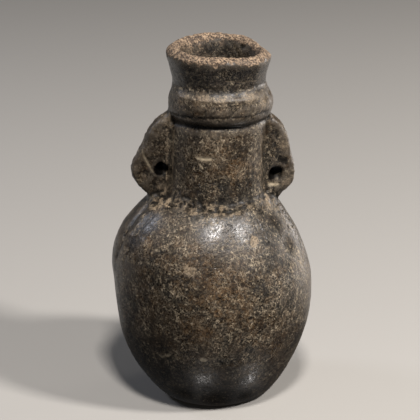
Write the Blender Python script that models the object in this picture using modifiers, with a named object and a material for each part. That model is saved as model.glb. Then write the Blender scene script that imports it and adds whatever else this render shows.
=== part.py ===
"""A small hand-built perfume bottle of dark burnished clay.

One fired piece: an egg-shaped belly on a small flat foot, a straight neck with a thick collar,
a flaring mouth with a worn lip, and a pierced ear-shaped lug on each side of the neck. A low
band runs from the foot of each lug down over the shoulder. The vase is hollow, and its wall
is one closed solid. X runs through the two lugs, -Y is the front and +Z is up. The origin is
the centre of the flat foot, on the surface that the vase stands on. All sizes are metres.
"""

import math

import bmesh
import bpy

# Heights of the stages, each from the top of the one below it
BELLY_HEIGHT = 0.0484
SHOULDER_RISE = 0.0413
NECK_RISE = 0.0331
COLLAR_LOWER_RISE = 0.0050
COLLAR_UPPER_RISE = 0.0085
MOUTH_RISE = 0.0118
LIP_RISE = 0.0027

# Outer radii, and what stands out from the neck's radius or is cut back from it
BELLY_RADIUS = 0.0417
FOOT_RADIUS = 0.0253
FOOT_ROLL = 0.0046
NECK_RADIUS = 0.0197
NECK_ROOT_SPREAD = 0.0016
COLLAR_PROJECTION = 0.0019
WAIST_CUT = 0.0007
MOUTH_FLARE = 0.0026
LIP_BEVEL = 0.0033

# Walls
BELLY_WALL = 0.0050
NECK_WALL = 0.0044
LIP_WALL = 0.0050
FLOOR = 0.0070
FOOT_EDGE = 0.0025
INNER_EDGE_DROP = 0.0011

# Lugs: LEFT is the lug at -X. Each stands out from the neck's surface
LEFT = -1
RIGHT = 1
LUG_PROJECTION = {LEFT: 0.0160, RIGHT: 0.0127}
LUG_FOOT_DROP = {LEFT: 0.0016, RIGHT: 0.0032}
LUG_TOP_LAP = 0.0003
LUG_THICKNESS = 0.0092
LUG_TAPER = 0.22
LUG_ROUNDING = 0.0020
LUG_ROOT_DEPTH = 0.0036
HOLE_RADIUS = {LEFT: 0.0026, RIGHT: 0.0028}
HOLE_FROM_NECK = {LEFT: 0.0032, RIGHT: 0.0045}
HOLE_ABOVE_ROOT = {LEFT: 0.0109, RIGHT: 0.0078}
HOLE_SLOPE = math.radians(16)

# The ears' outlines, from the top down: shares of an ear's height and of its projection
LUG_OUTLINE = {
    LEFT: (
        (1.00, 0.00),
        (0.95, 0.22),
        (0.84, 0.46),
        (0.71, 0.61),
        (0.57, 0.74),
        (0.45, 0.89),
        (0.32, 1.00),
        (0.19, 0.94),
        (0.08, 0.76),
        (0.00, 0.56),
    ),
    RIGHT: (
        (1.00, 0.00),
        (0.94, 0.26),
        (0.85, 0.52),
        (0.74, 0.70),
        (0.60, 0.81),
        (0.46, 0.90),
        (0.30, 1.00),
        (0.18, 0.94),
        (0.08, 0.74),
        (0.00, 0.50),
    ),
}

# The bands on the shoulder, under the lugs
BAND_DROP = 0.0346
BAND_RELIEF = {LEFT: 0.0013, RIGHT: 0.0011}
BAND_TOP_WIDTH = 0.0170
BAND_END_WIDTH = 0.0130
BAND_DEPTH = 0.0020

# How far each stage's middle stands off the foot's along X, as the clay slumped by hand
LOWER_LEAN = -0.0009
BELLY_LEAN = -0.0007
SHOULDER_LEAN = -0.0031
ROOT_SIDE_LEAN = -0.0021
NECK_ROOT_LEAN = -0.0002
NECK_LEAN = 0.0013
COLLAR_LEAN = 0.0024
WAIST_LEAN = 0.0016
MOUTH_LEAN = 0.0015
MOUTH_TILT = 0.050

# Fineness of the facets
SEGMENTS = 52
FOOT_STEPS = 3
BELLY_STEPS = 11
BORE_STEPS = 7
COLLAR_STEPS = 8
LIP_STEPS = 4

CLAY_COLOUR = (0.045, 0.034, 0.026, 1.0)
CLAY_ROUGHNESS = 0.5

# Heights above the table, and radii, worked out from the sizes above
NECK_ROOT_HEIGHT = BELLY_HEIGHT + SHOULDER_RISE
COLLAR_FOOT_HEIGHT = NECK_ROOT_HEIGHT + NECK_RISE
COLLAR_HEIGHT = COLLAR_FOOT_HEIGHT + COLLAR_LOWER_RISE
WAIST_HEIGHT = COLLAR_HEIGHT + COLLAR_UPPER_RISE
MOUTH_EDGE_HEIGHT = WAIST_HEIGHT + MOUTH_RISE
HEIGHT = MOUTH_EDGE_HEIGHT + LIP_RISE
NECK_ROOT_RADIUS = NECK_RADIUS + NECK_ROOT_SPREAD
COLLAR_RADIUS = NECK_RADIUS + COLLAR_PROJECTION
WAIST_RADIUS = NECK_RADIUS - WAIST_CUT
MOUTH_RADIUS = WAIST_RADIUS + MOUTH_FLARE
BORE_RADIUS = NECK_RADIUS - NECK_WALL


def smooth_step(start, end, value):
    """0 below start, 1 above end, and a smooth rise between them."""
    share = min(1.0, max(0.0, (value - start) / (end - start)))
    return share * share * (3 - 2 * share)


def curve_through(knots, value):
    """A smooth curve through (height, offset) knots, read at a height."""
    value = min(knots[-1][0], max(knots[0][0], value))
    last = len(knots) - 1
    slopes = []
    for i in range(last + 1):
        before, after = knots[max(0, i - 1)], knots[min(last, i + 1)]
        slopes.append((after[1] - before[1]) / (after[0] - before[0]))
    for i in range(last):
        (low, start), (high, end) = knots[i], knots[i + 1]
        if value <= high:
            span = high - low
            t = (value - low) / span
            bend = (t**3 - 2 * t**2 + t) * slopes[i] + (t**3 - t**2) * slopes[i + 1]
            return start + (end - start) * (3 * t**2 - 2 * t**3) + span * bend
    return knots[-1][1]


def sway(height):
    """How far the vase's middle stands off the foot's, along X, at a height."""
    knots = (
        (0.0, 0.0),
        (0.45 * BELLY_HEIGHT, LOWER_LEAN),
        (BELLY_HEIGHT, BELLY_LEAN),
        (BELLY_HEIGHT + 0.48 * SHOULDER_RISE, SHOULDER_LEAN),
        (BELLY_HEIGHT + 0.83 * SHOULDER_RISE, ROOT_SIDE_LEAN),
        (NECK_ROOT_HEIGHT, NECK_ROOT_LEAN),
        (NECK_ROOT_HEIGHT + 0.8 * NECK_RISE, NECK_LEAN),
        (COLLAR_HEIGHT, COLLAR_LEAN),
        (WAIST_HEIGHT, WAIST_LEAN),
        (HEIGHT, MOUTH_LEAN),
    )
    return curve_through(knots, height)


def half_height(radius, end_radius, rise):
    """Half height of the ellipse that narrows from radius to end_radius over that rise."""
    return rise / math.sqrt(1 - (end_radius / radius) ** 2)


def arc(radius, half, centre, end_height, steps):
    """Points of an ellipse from its widest height to end_height, as (radius, height)."""
    end_angle = math.asin((end_height - centre) / half)
    angles = [end_angle * i / steps for i in range(steps + 1)]
    return [(radius * math.cos(a), centre + half * math.sin(a)) for a in angles]


def lower_half():
    return half_height(BELLY_RADIUS, FOOT_RADIUS, BELLY_HEIGHT - FOOT_EDGE)


def upper_half():
    return half_height(BELLY_RADIUS, NECK_ROOT_RADIUS, SHOULDER_RISE)


def shoulder_radius_at(height):
    """Outer radius of the belly and shoulder at a height."""
    half = upper_half() if height > BELLY_HEIGHT else lower_half()
    share = min(1.0, abs(height - BELLY_HEIGHT) / half)
    return BELLY_RADIUS * math.sqrt(1 - share**2)


def shoulder_height_at(radius):
    """Height of the shoulder's outer surface at a radius."""
    share = min(1.0, radius / BELLY_RADIUS)
    return BELLY_HEIGHT + upper_half() * math.sqrt(1 - share**2)


def belly_line():
    """The outer wall from the foot up to the root of the neck."""
    lower = arc(BELLY_RADIUS, lower_half(), BELLY_HEIGHT, FOOT_EDGE, BELLY_STEPS)
    upper = arc(BELLY_RADIUS, upper_half(), BELLY_HEIGHT, NECK_ROOT_HEIGHT, BELLY_STEPS)
    foot = [(0.0, 0.0)]
    for i in range(FOOT_STEPS, 0, -1):
        share = i / FOOT_STEPS
        foot.append((FOOT_RADIUS - FOOT_ROLL * share, FOOT_EDGE * (1 - share) ** 2))
    return foot + lower[:0:-1] + upper


def neck_line():
    """The straight neck, which spreads a little at its root."""
    shares = (0.08, 0.22, 0.55, 1.0)
    spread = NECK_ROOT_SPREAD
    return [(NECK_RADIUS + spread * (1 - s) ** 4, NECK_ROOT_HEIGHT + NECK_RISE * s) for s in shares]


def collar_line():
    """The collar: a sharp lower edge over the neck, a round roll and a slope to the waist."""
    edge_share = 0.5
    points = []
    half = COLLAR_STEPS // 2
    for i in range(half + 1):
        share = i / half
        bulge = edge_share + (1 - edge_share) * math.sin(share * math.pi / 2)
        points.append((NECK_RADIUS + COLLAR_PROJECTION * bulge, COLLAR_FOOT_HEIGHT + COLLAR_LOWER_RISE * share))
    points[0] = (points[0][0], COLLAR_FOOT_HEIGHT + 0.04 * COLLAR_LOWER_RISE)
    for i in range(1, half + 1):
        share = i / half
        drop = (1 - math.cos(share * math.pi)) / 2
        radius = COLLAR_RADIUS + (WAIST_RADIUS - COLLAR_RADIUS) * drop
        points.append((radius, COLLAR_HEIGHT + COLLAR_UPPER_RISE * share))
    return points


def mouth_line():
    """The flaring mouth from the waist up, and the worn lip down to its inner edge."""
    shares = (0.3, 0.65, 1.0)
    points = [(WAIST_RADIUS + MOUTH_FLARE * s**1.4, WAIST_HEIGHT + MOUTH_RISE * s) for s in shares]
    crest = MOUTH_RADIUS - LIP_BEVEL
    for i in range(1, LIP_STEPS + 1):
        angle = math.pi / 2 * i / LIP_STEPS
        radius = crest + LIP_BEVEL * math.cos(angle) ** 1.5
        points.append((radius, MOUTH_EDGE_HEIGHT + LIP_RISE * math.sin(angle) ** 1.5))
    inner = MOUTH_RADIUS - LIP_WALL
    points.append(((inner + crest) / 2, HEIGHT - INNER_EDGE_DROP * 0.3))
    points.append((inner, HEIGHT - INNER_EDGE_DROP))
    return points


def inside_line():
    """The inside, from just under the lip down the neck's bore to the middle of the floor."""
    hollow = BELLY_RADIUS - BELLY_WALL
    top = NECK_ROOT_HEIGHT - BELLY_WALL * 0.4
    upper = half_height(hollow, BORE_RADIUS, top - BELLY_HEIGHT)
    lower = half_height(hollow, FOOT_RADIUS - BELLY_WALL, BELLY_HEIGHT - FLOOR)
    flare = MOUTH_RADIUS - LIP_WALL - BORE_RADIUS
    throat_height = HEIGHT - INNER_EDGE_DROP - 0.3 * MOUTH_RISE
    throat = [(BORE_RADIUS + flare * 0.35, throat_height), (BORE_RADIUS, WAIST_HEIGHT)]
    throat.append((BORE_RADIUS, (WAIST_HEIGHT + top) / 2))
    up = arc(hollow, upper, BELLY_HEIGHT, top, BORE_STEPS)
    down = arc(hollow, lower, BELLY_HEIGHT, FLOOR, BORE_STEPS)
    return throat + up[::-1] + down[1:] + [(0.0, 0.92 * FLOOR)]


def shape_by_hand(mesh):
    """Moves a turned mesh off its true axis and tips the mouth, as the potter's hands did."""
    for vertex in mesh.vertices:
        x, y, z = vertex.co
        tip = MOUTH_TILT * x * smooth_step(WAIST_HEIGHT, HEIGHT, z)
        vertex.co = (x + sway(z), y, z - tip)


def clay():
    """Dark burnished clay."""
    material = bpy.data.materials.new("burnished_clay")
    material.use_nodes = True
    shader = material.node_tree.nodes["Principled BSDF"]
    shader.inputs["Base Color"].default_value = CLAY_COLOUR
    shader.inputs["Roughness"].default_value = CLAY_ROUGHNESS
    shader.inputs["Metallic"].default_value = 0.0
    material.diffuse_color = CLAY_COLOUR
    return material


def new_collection(name):
    collection = bpy.data.collections.new(name)
    bpy.context.scene.collection.children.link(collection)
    return collection


def add_object(name, data, collection):
    thing = bpy.data.objects.new(name, data)
    collection.objects.link(thing)
    return thing


def hide_tool(thing):
    """Marks an object that only joins or cuts the vase."""
    thing.hide_render = True
    thing.display_type = "WIRE"


def plain_mesh(thing, collection):
    """Replaces a curve or a modified object by its evaluated mesh, with its caps welded."""
    bpy.context.view_layer.update()
    graph = bpy.context.evaluated_depsgraph_get()
    mesh = bpy.data.meshes.new_from_object(thing.evaluated_get(graph))
    name = thing.name
    place = thing.matrix_world.copy()
    bpy.data.objects.remove(thing)
    cage = bmesh.new()
    cage.from_mesh(mesh)
    bmesh.ops.remove_doubles(cage, verts=cage.verts, dist=0.00001)
    bmesh.ops.recalc_face_normals(cage, faces=cage.faces)
    cage.to_mesh(mesh)
    cage.free()
    made = add_object(name, mesh, collection)
    made.matrix_world = place
    return made


def merge_flat_faces(thing):
    """Makes each flat side one face, so that a bevel round it has room."""
    cage = bmesh.new()
    cage.from_mesh(thing.data)
    bmesh.ops.dissolve_limit(cage, angle_limit=math.radians(1), verts=cage.verts, edges=cage.edges)
    cage.to_mesh(thing.data)
    cage.free()


def turned_wall(collection):
    """Belly, neck, collar, mouth and hollow, turned as one closed section."""
    section = belly_line() + neck_line() + collar_line() + mouth_line() + inside_line()
    section.reverse()
    mesh = bpy.data.meshes.new("vase_section")
    edges = [(i, i + 1) for i in range(len(section) - 1)]
    mesh.from_pydata([(radius, 0.0, height) for radius, height in section], edges, [])
    vase = add_object("vase", mesh, collection)
    turn = vase.modifiers.new("turn", "SCREW")
    turn.axis = "Z"
    turn.angle = 2 * math.pi
    turn.steps = SEGMENTS
    turn.render_steps = SEGMENTS
    turn.use_merge_vertices = True
    turn.merge_threshold = 0.00002
    vase = plain_mesh(vase, collection)
    shape_by_hand(vase.data)
    return vase


def lug_middle():
    """X of the neck's own axis halfway up, which both lugs are measured from."""
    return sway(NECK_ROOT_HEIGHT + NECK_RISE / 2)


def lug_section(side):
    """The ear's closed outline as (distance from the neck's axis, height), root inside the wall."""
    foot_height = NECK_ROOT_HEIGHT - LUG_FOOT_DROP[side]
    rise = COLLAR_FOOT_HEIGHT + LUG_TOP_LAP - foot_height
    ear = [(NECK_RADIUS + LUG_PROJECTION[side] * s, foot_height + rise * h) for h, s in LUG_OUTLINE[side]]
    root = NECK_RADIUS - LUG_ROOT_DEPTH
    foot = ear[-1][0]
    middle = (root + foot) / 2
    ear.append((foot, shoulder_height_at(foot) - BELLY_WALL * 0.5))
    ear.append((middle, shoulder_height_at(middle) - BELLY_WALL * 0.6))
    ear.append((root, NECK_ROOT_HEIGHT - 0.05 * BELLY_WALL))
    ear.append((root, ear[0][1]))
    return ear


def lug(side, collection):
    """One ear-shaped lug with rounded edges, thicker at the neck."""
    name = "lug_left" if side == LEFT else "lug_right"
    curve = bpy.data.curves.new(name, "CURVE")
    curve.dimensions = "2D"
    curve.fill_mode = "BOTH"
    curve.extrude = LUG_THICKNESS / 2
    curve.resolution_u = 2
    spline = curve.splines.new("BEZIER")
    section = lug_section(side)
    spline.bezier_points.add(len(section) - 1)
    for point, (x, z) in zip(spline.bezier_points, section):
        point.co = (x, z, 0.0)
        point.handle_left_type = "AUTO"
        point.handle_right_type = "AUTO"
    for corner in spline.bezier_points[-4:]:
        corner.handle_left_type = "VECTOR"
        corner.handle_right_type = "VECTOR"
    spline.use_cyclic_u = True
    ear = add_object(name, curve, collection)
    ear.rotation_euler = (math.pi / 2, 0.0, 0.0)
    ear = plain_mesh(ear, collection)
    ear.data.transform(ear.matrix_world)
    ear.matrix_world.identity()
    for vertex in ear.data.vertices:
        share = (vertex.co.x - NECK_RADIUS) / LUG_PROJECTION[side]
        vertex.co.y *= 1 - LUG_TAPER * share
        vertex.co.x = side * vertex.co.x + lug_middle()
    if side == LEFT:
        ear.data.flip_normals()
    merge_flat_faces(ear)
    rounding = ear.modifiers.new("rounded_edge", "BEVEL")
    rounding.width = LUG_ROUNDING
    rounding.segments = 3
    rounding.limit_method = "ANGLE"
    rounding.angle_limit = math.radians(60)
    hide_tool(ear)
    return ear


def lug_hole(side, collection):
    """The round tool that pierces a lug from the front, rising a little towards the back."""
    height = NECK_ROOT_HEIGHT + HOLE_ABOVE_ROOT[side]
    reach = NECK_RADIUS + HOLE_FROM_NECK[side]
    bpy.ops.mesh.primitive_cylinder_add(
        vertices=24,
        radius=HOLE_RADIUS[side],
        depth=LUG_THICKNESS * 3,
        location=(side * reach + lug_middle(), 0.0, height),
        rotation=(math.pi / 2 + HOLE_SLOPE, 0.0, 0.0),
    )
    hole = bpy.context.object
    hole.name = "lug_hole_left" if side == LEFT else "lug_hole_right"
    for old in hole.users_collection:
        old.objects.unlink(hole)
    collection.objects.link(hole)
    hide_tool(hole)
    return hole


def band(side, collection):
    """The low band that follows the shoulder from a lug's foot to the widest part."""
    cage = bmesh.new()
    bmesh.ops.create_cube(cage, size=2.0)
    bmesh.ops.subdivide_edges(cage, edges=cage.edges, cuts=3, use_grid_fill=True)
    top = NECK_ROOT_HEIGHT - LUG_FOOT_DROP[side] - 0.01 * BAND_DROP
    for vertex in cage.verts:
        along, across, out = vertex.co
        down = (1 - along) / 2
        height = top - BAND_DROP * down
        half_width = (BAND_TOP_WIDTH + (BAND_END_WIDTH - BAND_TOP_WIDTH) * down) / 2
        fade = 1 - 0.7 * down**3
        crown = BAND_RELIEF[side] * fade * (1.15 - 0.3 * across**2)
        depth = -BAND_DEPTH + (crown + BAND_DEPTH) * (1 + out) / 2
        surface = shoulder_radius_at(height)
        angle = across * half_width / surface
        radius = surface + depth
        x = side * radius * math.cos(angle) + sway(height)
        vertex.co = (x, radius * math.sin(angle), height)
    bmesh.ops.recalc_face_normals(cage, faces=cage.faces)
    name = "band_left" if side == LEFT else "band_right"
    mesh = bpy.data.meshes.new(name)
    cage.to_mesh(mesh)
    cage.free()
    strip = add_object(name, mesh, collection)
    soften = strip.modifiers.new("soften", "SUBSURF")
    soften.levels = 1
    soften.render_levels = 1
    hide_tool(strip)
    return strip


def join_or_cut(vase, tool, operation):
    step = vase.modifiers.new(tool.name, "BOOLEAN")
    step.operation = operation
    step.object = tool
    step.solver = "EXACT"


def main():
    for old in list(bpy.data.objects):
        bpy.data.objects.remove(old)
    vase_parts = new_collection("perfume_vase")
    tools = new_collection("joins_and_cuts")
    vase = turned_wall(vase_parts)
    vase.data.materials.append(clay())
    for side in (LEFT, RIGHT):
        join_or_cut(vase, lug(side, tools), "UNION")
        join_or_cut(vase, band(side, tools), "UNION")
    for side in (LEFT, RIGHT):
        join_or_cut(vase, lug_hole(side, tools), "DIFFERENCE")
    vase.data.shade_smooth()
    vase.data.set_sharp_from_angle(angle=math.radians(40))


main()
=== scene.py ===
# Small perfume vase of dark burnished earthenware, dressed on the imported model.
# Sizes are in millimetres unless noted
import math

import bpy
import numpy as np
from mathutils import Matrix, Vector, noise
from mathutils.bvhtree import BVHTree


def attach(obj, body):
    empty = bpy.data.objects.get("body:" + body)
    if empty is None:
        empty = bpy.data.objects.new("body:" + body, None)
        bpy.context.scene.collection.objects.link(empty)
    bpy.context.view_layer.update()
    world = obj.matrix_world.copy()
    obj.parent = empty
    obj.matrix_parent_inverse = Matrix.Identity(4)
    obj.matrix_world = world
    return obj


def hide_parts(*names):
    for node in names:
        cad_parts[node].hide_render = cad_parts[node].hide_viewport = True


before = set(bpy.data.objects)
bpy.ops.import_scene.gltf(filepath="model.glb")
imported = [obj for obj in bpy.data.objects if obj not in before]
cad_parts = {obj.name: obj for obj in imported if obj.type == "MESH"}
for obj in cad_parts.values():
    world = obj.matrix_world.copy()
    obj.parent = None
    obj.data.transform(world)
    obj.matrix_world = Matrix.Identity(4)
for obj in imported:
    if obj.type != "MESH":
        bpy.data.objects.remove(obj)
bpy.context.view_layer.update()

scene = bpy.context.scene
scene.view_settings.view_transform = "Standard"


def hexColour(code):  # an sRGB colour as Blender's linear one
    parts = [int(code[i:i + 2], 16) / 255 for i in (1, 3, 5)]
    return tuple(v / 12.92 if v <= 0.04045 else ((v + 0.055) / 1.055) ** 2.4 for v in parts) + (1.0,)


def addNode(tree, kind, inputs=None, **settings):
    node = tree.nodes.new(kind)
    for name, value in settings.items():
        setattr(node, name, value)
    for socket, value in (inputs or {}).items():
        if isinstance(value, bpy.types.NodeSocket):
            tree.links.new(value, node.inputs[socket])
        else:
            node.inputs[socket].default_value = value
    return node


def pickOnly(piece):  # nothing else may be selected when an operator runs
    bpy.ops.object.select_all(action="DESELECT")
    piece.select_set(True)
    bpy.context.view_layer.objects.active = piece


def trianglesOf(piece):
    return sum(len(p.vertices) - 2 for p in piece.data.polygons)


# The camera stands 80 cm off, 20 degrees up and a little to the left, as in the photograph
cameraPlan = {
    "place": (-54.51, -749.77, 353.52),
    "aim": (-2.07, 0.15, 79.9),
    "lens": 164.17,
    "sensor": 36.0,
    "picture": 420,          # pixels on a side
}

cameraPlace = Vector(cameraPlan["place"]) / 1000
cameraTurn = (Vector(cameraPlan["aim"]) / 1000 - cameraPlace).to_track_quat("-Z", "Y").to_euler()
bpy.ops.object.select_all(action="DESELECT")
bpy.ops.object.camera_add(location=cameraPlace, rotation=cameraTurn)
camera = bpy.context.object
camera.name = "photographCamera"
camera.data.lens = cameraPlan["lens"]
camera.data.sensor_width = cameraPlan["sensor"]
scene.camera = camera
bpy.context.view_layer.update()
print("camera set")


# The clay body: a copy of the imported vase, meshed evenly and then given the marks of hands and tools
clayBody = {
    "weld": 0.02,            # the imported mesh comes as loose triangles
    "voxel": 0.88,           # size of the even mesh
    "insideKeep": 0.10,      # share of the faces that stay in the unseen hollow
    "seenHollow": 116,       # above this height the hollow shows through the mouth
    "middle": (              # height, and how far the middle sways to the right there
        (0, 0.0), (22, -0.9), (48.4, -0.7), (68.2, -3.1), (82.7, -2.1),
        (89.7, -0.2), (116.2, 1.3), (127.8, 2.4), (136.3, 1.6), (152, 1.5),
    ),
    "insideLimit": (         # height, and the radius that parts the inner face from the outer one
        (0, 0), (4, 0), (4.5, 22), (9, 25), (18, 31), (34, 37), (48.4, 38.8), (61.5, 37.2),
        (75.5, 30.8), (83.4, 23.5), (87.4, 19.0), (90.4, 17.4), (139.5, 17.3), (145.5, 17.6),
        (149, 18.0), (152.5, 16.8),
    ),
}

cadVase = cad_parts["vase"]
vase = bpy.data.objects.new("vaseClay", cadVase.data.copy())
scene.collection.objects.link(vase)
pickOnly(vase)
bpy.ops.object.mode_set(mode="EDIT")
bpy.ops.mesh.select_all(action="SELECT")
bpy.ops.mesh.remove_doubles(threshold=clayBody["weld"] / 1000)
bpy.ops.object.mode_set(mode="OBJECT")
evenMesh = vase.modifiers.new("evenMesh", "REMESH")
evenMesh.mode = "VOXEL"
evenMesh.voxel_size = clayBody["voxel"] / 1000
bpy.ops.object.modifier_apply(modifier="evenMesh")


def readPoints(piece):  # in millimetres
    points = np.empty(len(piece.data.vertices) * 3, np.float32)
    piece.data.vertices.foreach_get("co", points)
    return points.reshape(-1, 3).astype(float) * 1000


def writePoints(piece, points):
    piece.data.vertices.foreach_set("co", (points / 1000).astype(np.float32).ravel())
    piece.data.update()


def readNormals(piece):
    normals = np.empty(len(piece.data.vertices) * 3, np.float32)
    piece.data.vertex_normals.foreach_get("vector", normals)
    return normals.reshape(-1, 3).astype(float)


def readEdges(piece):
    edges = np.empty(len(piece.data.edges) * 2, np.int32)
    piece.data.edges.foreach_get("vertices", edges)
    return edges.reshape(-1, 2)


def onProfile(knots, heights):
    return np.interp(heights, [k[0] for k in knots], [k[1] for k in knots])


def around(points):  # distance from the swaying middle, and the angle from the front, + to the right
    dx = points[:, 0] - onProfile(clayBody["middle"], points[:, 2])
    return np.hypot(dx, points[:, 1]), np.arctan2(dx, -points[:, 1])


def ramp(values, low, high):  # 0 at low, 1 at high, eased
    share = np.clip((values - low) / (high - low), 0, 1)
    return share * share * (3 - 2 * share)


def insideMask(points):
    radius, angle = around(points)
    return radius < onProfile(clayBody["insideLimit"], points[:, 2])


# fewer faces in the part of the hollow that nobody sees
points = readPoints(vase)
hidden = insideMask(points) & (points[:, 2] < clayBody["seenHollow"])
faceCorners = np.empty(len(vase.data.loops), np.int32)
vase.data.loops.foreach_get("vertex_index", faceCorners)
bpy.ops.object.mode_set(mode="EDIT")
bpy.ops.mesh.select_mode(type="FACE")
bpy.ops.mesh.select_all(action="DESELECT")
bpy.ops.object.mode_set(mode="OBJECT")
vase.data.polygons.foreach_set("select", hidden[faceCorners.reshape(-1, 4)].all(1))
bpy.ops.object.mode_set(mode="EDIT")
bpy.ops.mesh.decimate(ratio=clayBody["insideKeep"])
bpy.ops.object.mode_set(mode="OBJECT")
print("even mesh", len(vase.data.vertices), "points", trianglesOf(vase), "triangles")


def relax(points, edges, weight, rounds):
    a, b = edges[:, 0], edges[:, 1]
    size = len(points)
    near = np.maximum(np.bincount(a, minlength=size) + np.bincount(b, minlength=size), 1)[:, None]
    for turn in range(rounds):
        total = np.stack([
            np.bincount(a, points[b, k], size) + np.bincount(b, points[a, k], size) for k in range(3)
        ], 1)
        points = points + weight[:, None] * (total / near - points)
    return points


# Facets are smoothed out of the belly and, less, of the neck. The lugs and the bands under them
# keep their edges, and so do the collar, the lip and the foot
smoothing = {
    "bellyRounds": 44, "bellyPull": 0.5,
    "bellyBegins": (4, 9), "bellyEnds": (83.5, 89.5),        # heights, eased from the first to the second
    "bandsBegin": (48, 54), "besideBelly": (0.86, 0.94),     # sine of the angle from the front
    "neckShare": 0.25,
    "neckBegins": (90, 95), "neckEnds": (117, 121), "besideNeck": (0.8, 0.92),
    "allRounds": 5, "allPull": 0.45,
}

points = readPoints(vase)
edges = readEdges(vase)
radius, angle = around(points)
height = points[:, 2]
inside = insideMask(points)
sideways = np.abs(np.sin(angle))
onBand = ramp(sideways, *smoothing["besideBelly"]) * ramp(height, *smoothing["bandsBegin"])
onBelly = ramp(height, *smoothing["bellyBegins"]) * (1 - ramp(height, *smoothing["bellyEnds"]))
onNeck = ramp(height, *smoothing["neckBegins"]) * (1 - ramp(height, *smoothing["neckEnds"]))
onNeck = smoothing["neckShare"] * onNeck * (1 - ramp(sideways, *smoothing["besideNeck"]))
plain = np.maximum(onBelly * (1 - onBand), onNeck)
points = relax(points, edges, smoothing["bellyPull"] * plain, smoothing["bellyRounds"])
points = relax(points, edges, np.full(len(points), smoothing["allPull"]), smoothing["allRounds"])

# The collar's crisp upper ledge at the front and back, the drawn-in right shoulder, the mouth's flattened
# front, the far rim's worn right side, and holes that rise to the back. The first number of each pair is
# a height in the first two, and degrees from the front, + to the right, in the next three
shaping = {
    "ledge": (
        (126.6, 0), (128, 0.15), (130.7, 0.60), (132.4, 1.25), (133.3, 1.55), (134.0, 1.25),
        (135.2, 0.55), (136.6, 0),
    ),
    "rightShoulder": ((72, 0), (78, -0.5), (84, -0.6), (88, -0.4), (91, 0)),
    "rimLift": (
        (-180, 0.9), (-158, 0.6), (-130, 0.0), (-112, -0.4), (-80, 0.0), (0, 0.0), (60, 0.0),
        (95, -0.8), (107, -1.1), (117, -0.7), (131, 0.4), (142, 1.1), (162, 1.0), (180, 0.9),
    ),
    "mouthPush": (
        (-180, 0.0), (-110, -0.2), (-75, 0.6), (-45, 0.5), (0, -0.9), (45, 0.5), (75, 0.1),
        (110, -0.5), (180, 0.0),
    ),
    "innerPush": (
        (-180, 0.0), (-95, 0.0), (-62, 0.5), (-42, 0.9), (-20, 0.1), (0, -0.8), (20, 0.1),
        (42, 0.9), (62, 0.5), (95, 0.0), (180, 0.0),
    ),
    "ledgeFaces": (0.20, 0.75),        # cosine and sine of the angle from the front, eased
    "shoulderFaces": (0.60, 0.95),
    "pushBegins": (138, 146),          # heights
    "liftBegins": (137, 148),
    "holes": ((-22.9, 100.6), (24.2, 97.5)),    # x and height of the two suspension holes
    "holeSlope": 0.287,                # rise of the solid's holes to the back
    "holeLean": 0.26,                  # and what is added to it
    "lugFront": -4.6,                  # y of the lugs' front face
    "holeDepth": 12,                   # past this far behind it the holes rise no more
    "holeWall": (3.4, 7.0),            # the clay moves with a hole as far as this from its middle
    "lugBegins": (20.5, 22),           # radius
}


def byAngle(knots):
    return np.interp(np.degrees(angle), [k[0] for k in knots], [k[1] for k in knots])


def behindLugFront(points):
    return np.clip(points[:, 1] - shaping["lugFront"], 0, shaping["holeDepth"])


facing = ramp(np.abs(np.cos(angle)), *shaping["ledgeFaces"])
rightSide = ramp(np.sin(angle), *shaping["shoulderFaces"]) * (1 - inside)
outward = np.stack([np.sin(angle), -np.cos(angle), np.zeros(len(points))], 1)
rimPush = np.where(inside, byAngle(shaping["innerPush"]), byAngle(shaping["mouthPush"]))
push = onProfile(shaping["ledge"], height) * facing * (1 - inside)
push += onProfile(shaping["rightShoulder"], height) * rightSide
push += rimPush * ramp(height, *shaping["pushBegins"])
points = points + outward * push[:, None]
points[:, 2] += byAngle(shaping["rimLift"]) * ramp(height, *shaping["liftBegins"])
for holeX, holeHeight in shaping["holes"]:
    gap = np.hypot(points[:, 0] - holeX, points[:, 2] - holeHeight)
    lean = shaping["holeLean"] * behindLugFront(points)
    points[:, 2] += lean * (1 - ramp(gap, *shaping["holeWall"])) * ramp(radius, *shaping["lugBegins"])
writePoints(vase, points)
print("facets relaxed, collar and rim shaped")


# What the hands, the burnishing stone and the years did to it. Places are points of the photograph, in
# pixels from its left and its top, laid on the clay
def surfaceOf(piece):
    mesh = piece.data
    return BVHTree.FromPolygons([v.co for v in mesh.vertices], [p.vertices for p in mesh.polygons])


surface = surfaceOf(vase)
viewTurn = camera.matrix_world.to_3x3()
pixelsPerTan = cameraPlan["picture"] * cameraPlan["lens"] / cameraPlan["sensor"]
farOff = 1e3             # a distance that stands for no mark near by


def onClay(x, y):
    half = cameraPlan["picture"] / 2
    way = viewTurn @ Vector((x - half, half - y, -pixelsPerTan)).normalized()
    hit = surface.ray_cast(cameraPlace, way)[0]
    return None if hit is None else np.array(hit) * 1000


def pathOnClay(pixels, gap=0.8):
    laid = []
    for (x0, y0), (x1, y1) in zip(pixels, pixels[1:] or pixels):
        steps = max(1, int(math.hypot(x1 - x0, y1 - y0) / gap))
        for i in range(steps + 1):
            spot = onClay(x0 + (x1 - x0) * i / steps, y0 + (y1 - y0) * i / steps)
            if spot is not None:
                laid.append(spot)
    return np.array(laid).reshape(-1, 3)


def distanceTo(path, points, reach, batch=40):
    far = np.full(len(points), farOff)
    if not len(path):
        return far
    near = np.nonzero(((points > path.min(0) - reach) & (points < path.max(0) + reach)).all(1))[0]
    for start in range(0, len(path), batch):
        some = path[start:start + batch]
        gap = np.sqrt(((points[near][:, None, :] - some[None]) ** 2).sum(2)).min(1)
        far[near] = np.minimum(far[near], gap)
    return far


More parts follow.
